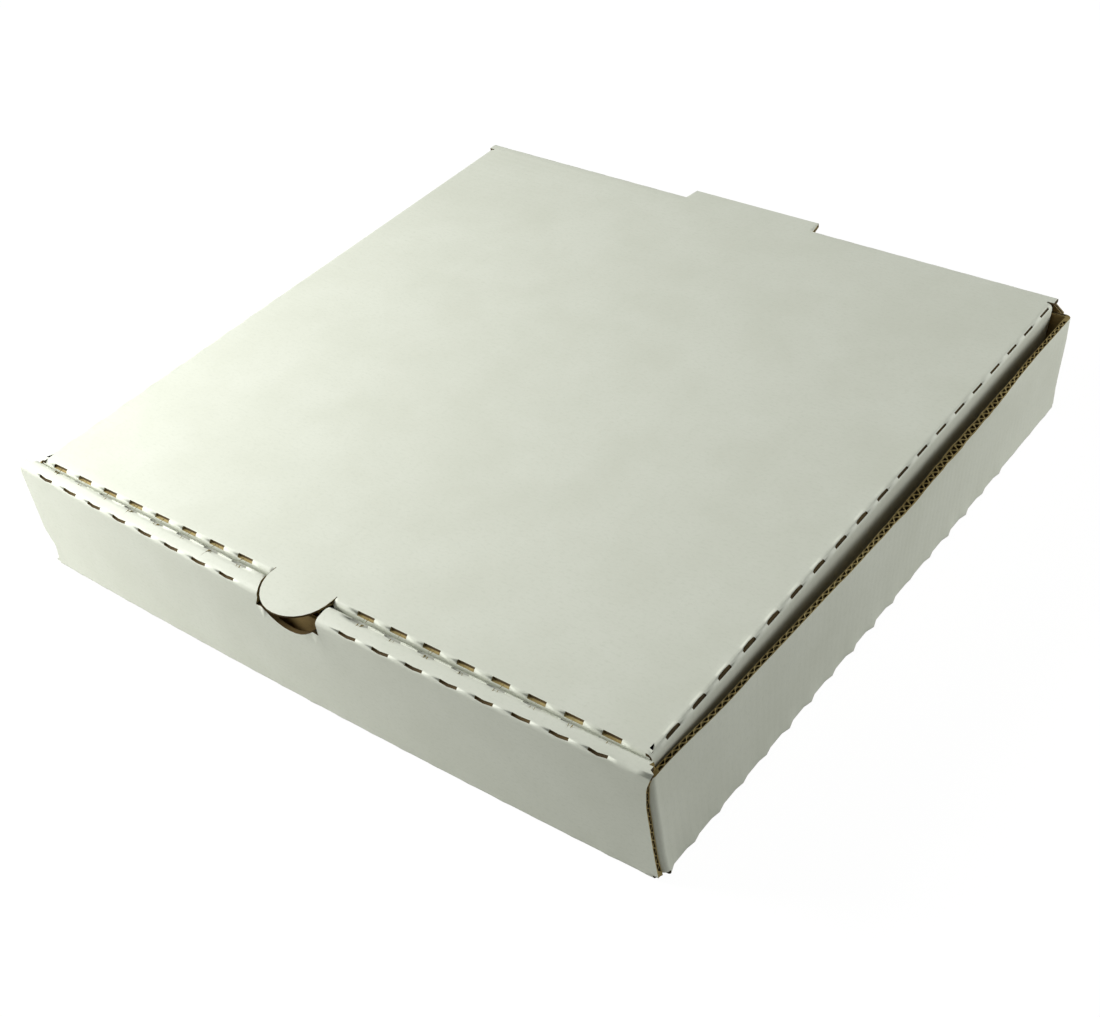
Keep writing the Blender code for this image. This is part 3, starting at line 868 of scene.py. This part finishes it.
def fibre_tree(material):
    """Loose fibres that stand out of the knife cuts along a crease."""
    inputs = [
        ("Count", "NodeSocketInt"),
        ("Step", "NodeSocketFloat"),
        ("Length", "NodeSocketFloat"),
        ("Width", "NodeSocketFloat"),
        ("Seed", "NodeSocketInt"),
    ]
    tree = new_tree("torn_fibres", inputs)
    given = add_node(tree, "NodeGroupInput")
    step = add_node(tree, "ShaderNodeCombineXYZ", {"X": given.outputs["Step"]})
    line = add_node(
        tree,
        "GeometryNodeMeshLine",
        {"Count": given.outputs["Count"], "Offset": step.outputs[0]},
        mode="OFFSET",
    )
    fibre = add_node(
        tree,
        "GeometryNodeMeshCone",
        {"Depth": given.outputs["Length"], "Radius Bottom": given.outputs["Width"]},
        {"Vertices": 4, "Radius Top": 0.0},
        fill_type="NGON",
    )
    turn = add_node(
        tree,
        "FunctionNodeRandomValue",
        {"Seed": given.outputs["Seed"]},
        {0: (-1.75, -0.5, -0.5), 1: (-1.5, 0.5, 0.5)},
        data_type="FLOAT_VECTOR",
    )
    size = add_node(
        tree,
        "FunctionNodeRandomValue",
        {"Seed": given.outputs["Seed"]},
        {2: 0.35, 3: 1.0},
        data_type="FLOAT",
    )
    copies = add_node(
        tree,
        "GeometryNodeInstanceOnPoints",
        {
            "Points": line.outputs[0],
            "Instance": fibre.outputs["Mesh"],
            "Rotation": turn.outputs["Value"],
            "Scale": size.outputs[1],
        },
    )
    finish_tree(tree, copies.outputs[0], material)
    return tree


def run_tree(tree, values):
    """The plain mesh that a tree makes from these named inputs."""
    holder = bpy.data.objects.new("holder", bpy.data.meshes.new("holder"))
    bpy.context.scene.collection.objects.link(holder)
    modifier = holder.modifiers.new("nodes", "NODES")
    modifier.node_group = tree
    for item in tree.interface.items_tree:
        if item.in_out == "INPUT" and item.name in values:
            modifier[item.identifier] = values[item.name]
    graph = bpy.context.evaluated_depsgraph_get()
    mesh = bpy.data.meshes.new_from_object(holder.evaluated_get(graph))
    bpy.data.objects.remove(holder, do_unlink=True)
    return mesh


def axes_matrix(origin, along, depth, thickness):
    """A place whose X runs along an edge, Y into the board and Z through its thickness."""
    rows = [Vector(along), Vector(depth), Vector(thickness)]
    matrix = Matrix([[row[i] for row in rows] for i in range(3)]).to_4x4()
    matrix.translation = Vector(origin)
    return matrix


def gather(name, meshes, worn, sizes, material, thickness=0.0):
    """One piece from many placed meshes, worn as the board is."""
    work = bmesh.new()
    for mesh, matrix in meshes:
        mesh.transform(matrix)
        work.from_mesh(mesh)
    lay_pattern(work)
    for vert in work.verts:
        vert.co = worn(vert.co, sizes)
    mesh = bpy.data.meshes.new(name)
    work.to_mesh(mesh)
    work.free()
    mesh.materials.clear()
    mesh.materials.append(material)
    for polygon in mesh.polygons:
        polygon.material_index = 0
    mesh.shade_smooth()
    piece = bpy.data.objects.new(name, mesh)
    bpy.context.scene.collection.objects.link(piece)
    if thickness:
        solid = piece.modifiers.new("paper", "SOLIDIFY")
        solid.thickness = thickness
        solid.offset = 0.0
        graph = bpy.context.evaluated_depsgraph_get()
        piece.data = bpy.data.meshes.new_from_object(piece.evaluated_get(graph))
        piece.modifiers.clear()
    return piece


def side_wall_edges(sizes):
    """Origin, direction, way into the board, way through it, and length of the side walls' tops."""
    first = FRONT + BOARD + LAYER_GAP + FOLD
    last = REAR - BOARD - LAYER_GAP - FOLD
    count = 2 * int((last - first) / sizes.flute_pitch) - 1
    start = (first + last - (count - 1) * sizes.flute_pitch / 2) / 2 - sizes.flute_pitch / 4
    level = SIDE_WALL + sizes.proud - sizes.slot / 2
    edges = []
    for hand in (-1, 1):
        x = hand * (HALF - BOARD / 2)
        length = (count // 2) * sizes.flute_pitch
        edges.append(((x, start, level), (0, 1, 0), (0, 0, -1), (1, 0, 0), length))
    return edges


def fluting_meshes(edges, sizes, tree):
    """A run of flutes for each raw edge."""
    found = []
    height = BOARD / 2 - sizes.liner - sizes.paper / 2
    for origin, along, into, through, length in edges:
        values = {
            "Pitch": sizes.flute_pitch,
            "Height": height,
            "Depth": sizes.slot,
            "Count": round(length / sizes.flute_pitch),
        }
        start = Vector(origin) + Vector(along) * sizes.flute_pitch / 2
        found.append((run_tree(tree, values), axes_matrix(start, along, into, through)))
    return found


def side_cut_starts():
    """Where the knife cuts of the lid's side creases start, from the rear."""
    count = int((REAR - LID_FRONT - FIRST_SIDE_CUT) / CUT_PITCH)
    return [REAR - FIRST_SIDE_CUT - CUT_LENGTH - CUT_PITCH * index for index in range(count)]


def front_cut_starts():
    """Where the knife cuts of the front creases start, from the left, with none at the thumb tab."""
    count = int((2 * HALF - FIRST_CROSS_CUT) / CUT_PITCH)
    starts = [-HALF + FIRST_CROSS_CUT + CUT_PITCH * index for index in range(count)]
    return [start for start in starts if start > THUMB_BRIDGE or start + CUT_LENGTH < -THUMB_BRIDGE]


def fibre_meshes(tree, crease, seed):
    """Loose fibres in each cut of a crease that runs across the box."""
    found = []
    along = Vector((1, 0, 0))
    for index, start in enumerate(front_cut_starts()):
        values = {
            "Count": FIBRES_PER_CUT,
            "Step": 0.2 * CUT_LENGTH,
            "Length": FIBRE_LENGTH,
            "Width": FIBRE_WIDTH,
            "Seed": seed * 100 + index,
        }
        origin = Vector(crease) + along * (start + 0.55 * CUT_LENGTH)
        found.append((run_tree(tree, values), axes_matrix(origin, along, (0, -1, 0), (0, 0, 1))))
    return found


# Operators


class BOX_OT_tray(bpy.types.Operator):
    """Dress the tray: liners, raw edges, bow and wear"""

    bl_idname = "pizza_box.tray"
    bl_label = "Tray board"

    def execute(self, context):
        sizes = context.scene.pizza_box_sizes
        papers = board_papers(context.scene.pizza_box_colours)
        piece = board_piece("tray_board", "tray", worn_tray, sizes, papers)
        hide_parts("tray")
        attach(piece, "tray")
        return {"FINISHED"}


class BOX_OT_lid(bpy.types.Operator):
    """Dress the lid: liners, raw edges and its slight sag"""

    bl_idname = "pizza_box.lid"
    bl_label = "Lid board"

    def execute(self, context):
        sizes = context.scene.pizza_box_sizes
        papers = board_papers(context.scene.pizza_box_colours)
        piece = board_piece("lid_board", "lid", worn_lid, sizes, papers)
        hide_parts("lid")
        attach(piece, "lid")
        return {"FINISHED"}


class BOX_OT_fluting(bpy.types.Operator):
    """Put the fluted middle sheet into the raw top edges of the side walls"""

    bl_idname = "pizza_box.fluting"
    bl_label = "Fluting"

    def execute(self, context):
        sizes = context.scene.pizza_box_sizes
        # The same fluting paper, painted lighter where it catches the light at the mouth of an edge
        material = paper(
            "fluting_painted_lit", linear("C4B27C"), linear("A08C56"), linear("5C4C28"), 0.85
        )
        tree = fluting_tree(material)
        meshes = fluting_meshes(side_wall_edges(sizes), sizes, tree)
        piece = gather("tray_fluting", meshes, worn_tray, sizes, material, sizes.paper)
        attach(piece, "tray")
        return {"FINISHED"}


class BOX_OT_fibres(bpy.types.Operator):
    """Put torn fibres into the cuts of the lid's front crease and the strip beside it"""

    bl_idname = "pizza_box.fibres"
    bl_label = "Torn fibres"

    def execute(self, context):
        sizes = context.scene.pizza_box_sizes
        seed = context.scene.pizza_box_colours.seed
        # Torn kraft fibre: pale where it is broken
        material = paper("torn_kraft_fibre", linear("A3966A"), linear("857646"), linear("5F5028"), 0.9)
        tree = fibre_tree(material)
        level = HEIGHT - 0.05 * MM
        tray = fibre_meshes(tree, (0, FRONT + STRIP - MM, level), seed)
        lid = fibre_meshes(tree, (0, LID_FRONT + 0.2 * MM, level), seed + 1)
        for name, body, meshes, worn, slot in (
            ("tray_fibres", "tray", tray, worn_tray, "tray_board"),
            ("lid_fibres", "lid", lid, worn_lid, "lid_board"),
        ):
            piece = gather(name, meshes, worn, sizes, material)
            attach(piece, body)
        return {"FINISHED"}


class BOX_OT_stage(bpy.types.Operator):
    """Set the floor, the lamps and the camera"""

    bl_idname = "pizza_box.stage"
    bl_label = "Stage"

    def execute(self, context):
        make_floor()
        make_lamps()
        make_camera()
        context.scene.view_settings.view_transform = "Standard"
        return {"FINISHED"}


def make_floor():
    """A plain pale floor that shows white and keeps a faint shadow."""
    work = bmesh.new()
    bmesh.ops.create_grid(work, x_segments=1, y_segments=1, size=6.0)
    mesh = bpy.data.meshes.new("floor")
    work.to_mesh(mesh)
    work.free()
    floor = bpy.data.objects.new("floor", mesh)
    floor.location.z = -0.05 * MM
    material = bpy.data.materials.new("studio_paper_floor")
    material.use_nodes = True
    tree = material.node_tree
    shader = tree.nodes["Principled BSDF"]
    shader.inputs["Base Color"].default_value = linear("C4C4C2")
    shader.inputs["Roughness"].default_value = 0.9
    glow = add_node(tree, "ShaderNodeEmission", values={"Strength": 1.1})
    path = add_node(tree, "ShaderNodeLightPath")
    seen = add_node(
        tree, "ShaderNodeMath", {0: path.outputs["Is Camera Ray"]}, {1: 0.88}, operation="MULTIPLY"
    )
    mix = add_node(
        tree,
        "ShaderNodeMixShader",
        {0: seen.outputs[0], 1: shader.outputs[0], 2: glow.outputs[0]},
    )
    tree.links.new(mix.outputs[0], tree.nodes["Material Output"].inputs["Surface"])
    mesh.materials.append(material)
    bpy.context.scene.collection.objects.link(floor)


def add_lamp(name, place, aim, size, power, colour):
    """A square soft lamp that points at a place."""
    data = bpy.data.lights.new(name, "AREA")
    data.size = size
    data.energy = power
    data.color = colour
    lamp = bpy.data.objects.new(name, data)
    lamp.location = place
    lamp.rotation_euler = (Vector(aim) - Vector(place)).to_track_quat("-Z", "Y").to_euler()
    bpy.context.scene.collection.objects.link(lamp)


def make_lamps():
    """A near soft lamp at the left front, a weak one at the right rear, and an even sky."""
    add_lamp("key_softbox", (-0.44, -0.255, 0.335), (-0.02, -0.02, 0.03), 0.3, 4.5, (1.0, 1.0, 0.98))
    add_lamp("rear_fill", (0.6, 0.6, 0.25), (0.13, 0.13, 0.02), 0.4, 3.6, (1.0, 1.0, 0.98))
    world = bpy.data.worlds.new("studio")
    world.use_nodes = True
    back = world.node_tree.nodes["Background"]
    back.inputs["Color"].default_value = (0.97, 1.0, 0.95, 1.0)
    back.inputs["Strength"].default_value = 0.2
    bpy.context.scene.world = world


def make_camera():
    """The photograph's view: a pinhole camera fitted to the box's corners and cuts."""
    azimuth = math.radians(-41.88)
    elevation = math.radians(39.35)
    roll = math.radians(-7.35)
    distance = 0.55474
    target = Vector((0.15232 - HALF, 0.09361 + FRONT, 0.022))
    forward = Vector(
        (
            math.sin(azimuth) * math.cos(elevation),
            math.cos(azimuth) * math.cos(elevation),
            -math.sin(elevation),
        )
    )
    right = Vector((math.cos(azimuth), -math.sin(azimuth), 0.0))
    up = right.cross(forward)
    turned_right = math.cos(roll) * right + math.sin(roll) * up
    turned_up = math.cos(roll) * up - math.sin(roll) * right
    data = bpy.data.cameras.new("photo_view")
    data.sensor_fit = "HORIZONTAL"
    data.sensor_width = 36.0
    data.lens = data.sensor_width * FOCAL_PIXELS / PHOTO_WIDTH
    data.clip_start = 0.01
    camera = bpy.data.objects.new("photo_view", data)
    basis = Matrix((turned_right, turned_up, -forward)).transposed().to_4x4()
    basis.translation = target - distance * forward
    camera.matrix_world = basis
    bpy.context.scene.collection.objects.link(camera)
    bpy.context.scene.camera = camera


class BOX_PT_panel(bpy.types.Panel):
    """The box's steps and sizes in the sidebar"""

    bl_label = "Pizza Box"
    bl_idname = "BOX_PT_panel"
    bl_space_type = "VIEW_3D"
    bl_region_type = "UI"
    bl_category = "Pizza Box"

    def draw(self, context):
        for group in (context.scene.pizza_box_sizes, context.scene.pizza_box_colours):
            for name in group.__annotations__:
                self.layout.prop(group, name)
        for operator in OPERATORS:
            self.layout.operator(operator.bl_idname)


OPERATORS = (BOX_OT_tray, BOX_OT_lid, BOX_OT_fluting, BOX_OT_fibres, BOX_OT_stage)
CLASSES = (BoxSizes, BoxColours, *OPERATORS, BOX_PT_panel)


def register():
    for cls in CLASSES:
        bpy.utils.register_class(cls)
    bpy.types.Scene.pizza_box_sizes = PointerProperty(type=BoxSizes)
    bpy.types.Scene.pizza_box_colours = PointerProperty(type=BoxColours)


def unregister():
    del bpy.types.Scene.pizza_box_sizes
    del bpy.types.Scene.pizza_box_colours
    for cls in reversed(CLASSES):
        bpy.utils.unregister_class(cls)


def main():
    register()
    bpy.ops.pizza_box.tray()
    bpy.ops.pizza_box.lid()
    bpy.ops.pizza_box.fluting()
    bpy.ops.pizza_box.fibres()
    bpy.ops.pizza_box.stage()


if __name__ == "__main__":
    main()
